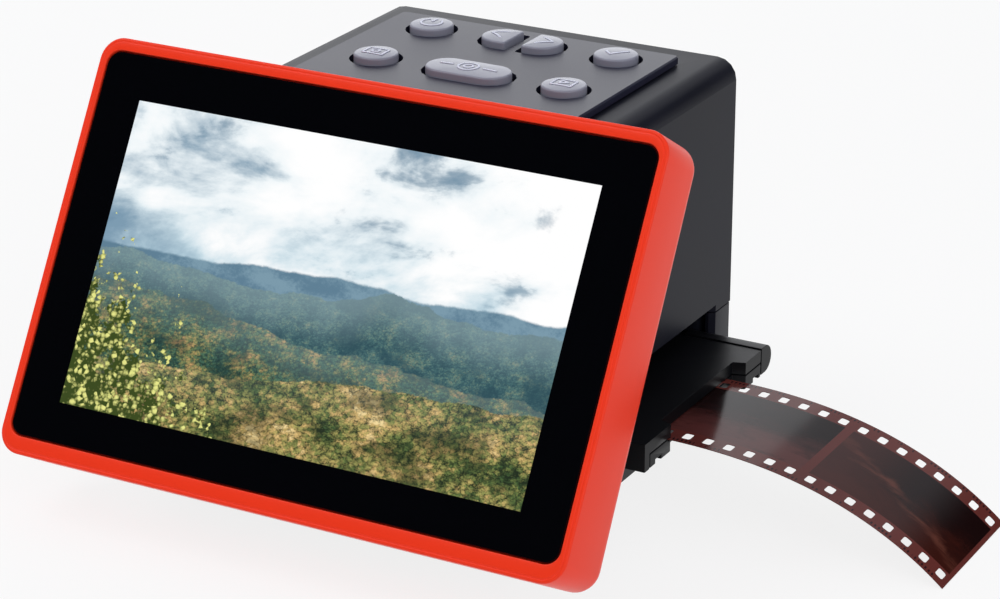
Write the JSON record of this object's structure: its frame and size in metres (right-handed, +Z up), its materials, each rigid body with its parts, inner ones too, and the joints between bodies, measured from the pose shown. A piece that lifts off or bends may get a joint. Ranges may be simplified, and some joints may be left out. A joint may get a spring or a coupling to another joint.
{
  "type": "film negative scanner",
  "caption": "Desktop film scanner: tilted screen on a boxy housing with top keys, a slide-through film holder with hinged cover and a curling strip of negatives.",
  "frame": {"origin": "under the middle of the whole scanner with its film, on the surface that it stands on", "axes": "+Z up, -Y towards the user and the screen, +X to the user's right, where the film hangs out"},
  "size_m": [0.1896, 0.126, 0.0947],
  "materials": {
    "dark_shell": "fine spark-eroded grain, charcoal with a slight blue cast",
    "black_plastic": "satin black, moulded",
    "plate_grey": "smooth satin grey-violet",
    "key_silver": "painted light silver-grey with white marks",
    "frame_red": "bright red-orange, satin gloss, crisp edges",
    "display_glass": "polished black front window over a lit screen",
    "film_base": "thin glossy film, orange-brown base with printed frames",
    "circuit_board": "green solder mask",
    "steel": "bare metal",
    "rubber": "matt black rubber",
    "white_plastic": "milky white"
  },
  "bodies": {
    "housing": {"upper_housing": "dark_shell", "base_housing": "dark_shell", "control_plate": "plate_grey", "foot_back_left": "rubber", "foot_back_right": "rubber", "foot_front_left": "rubber", "foot_front_right": "rubber", "base_screw_back_left": "steel", "base_screw_back_right": "steel", "base_screw_front_left": "steel", "base_screw_front_right": "steel", "key_board": "circuit_board", "display_frame": "frame_red", "cover_glass": "display_glass", "lcd_module": "steel", "display_board": "circuit_board", "display_back_cover": "dark_shell", "tray_guide": "black_plastic", "diffuser": "white_plastic", "light_box": "white_plastic", "backlight_board": "circuit_board", "camera_shroud": "black_plastic", "lens_barrel": "black_plastic", "lens_glass": "display_glass", "sensor_board": "circuit_board", "main_board": "circuit_board", "usb_socket": "steel", "hdmi_socket": "steel", "card_socket": "steel"},
    "tray": {"film_tray": "black_plastic", "tray_hinge_bar": "black_plastic", "tray_hinge_pin": "steel"},
    "cover": {"tray_cover": "black_plastic"},
    "film": {"film_strip": "film_base"},
    "power_button": {"power_key": "key_silver"},
    "mode_button": {"mode_key": "key_silver"},
    "capture_button": {"capture_key": "key_silver"},
    "left_button": {"left_key": "key_silver"},
    "right_button": {"right_key": "key_silver"},
    "ok_button": {"ok_key": "key_silver"},
    "playback_button": {"playback_key": "key_silver"}
  },
  "joints": [
    {"name": "tray_slide", "type": "slide", "parent": "housing", "child": "tray", "axis": [1, 0, 0], "range_m": [-0.038, 0.038]},
    {"name": "cover_hinge", "type": "hinge", "parent": "tray", "child": "cover", "pos_m": [-0.02703, 0.05065, 0.02025], "axis": [-1, 0, 0], "range_deg": [0, 4.5]},
    {"name": "film_slide", "type": "slide", "parent": "tray", "child": "film", "axis": [1, 0, 0], "range_m": [0, 0.038]},
    {"name": "power_press", "type": "slide", "parent": "housing", "child": "power_button", "axis": [0, 0, -1], "range_m": [0, 0.0006], "stiffness_N_per_m": 800, "springref_m": -0.0005},
    {"name": "mode_press", "type": "slide", "parent": "housing", "child": "mode_button", "axis": [0, 0, -1], "range_m": [0, 0.0006], "stiffness_N_per_m": 800, "springref_m": -0.0005},
    {"name": "capture_press", "type": "slide", "parent": "housing", "child": "capture_button", "axis": [0, 0, -1], "range_m": [0, 0.0006], "stiffness_N_per_m": 800, "springref_m": -0.0005},
    {"name": "left_press", "type": "slide", "parent": "housing", "child": "left_button", "axis": [0, 0, -1], "range_m": [0, 0.0006], "stiffness_N_per_m": 800, "springref_m": -0.0005},
    {"name": "right_press", "type": "slide", "parent": "housing", "child": "right_button", "axis": [0, 0, -1], "range_m": [0, 0.0006], "stiffness_N_per_m": 800, "springref_m": -0.0005},
    {"name": "ok_press", "type": "slide", "parent": "housing", "child": "ok_button", "axis": [0, 0, -1], "range_m": [0, 0.0006], "stiffness_N_per_m": 800, "springref_m": -0.0005},
    {"name": "playback_press", "type": "slide", "parent": "housing", "child": "playback_button", "axis": [0, 0, -1], "range_m": [0, 0.0006], "stiffness_N_per_m": 800, "springref_m": -0.0005}
  ]
}
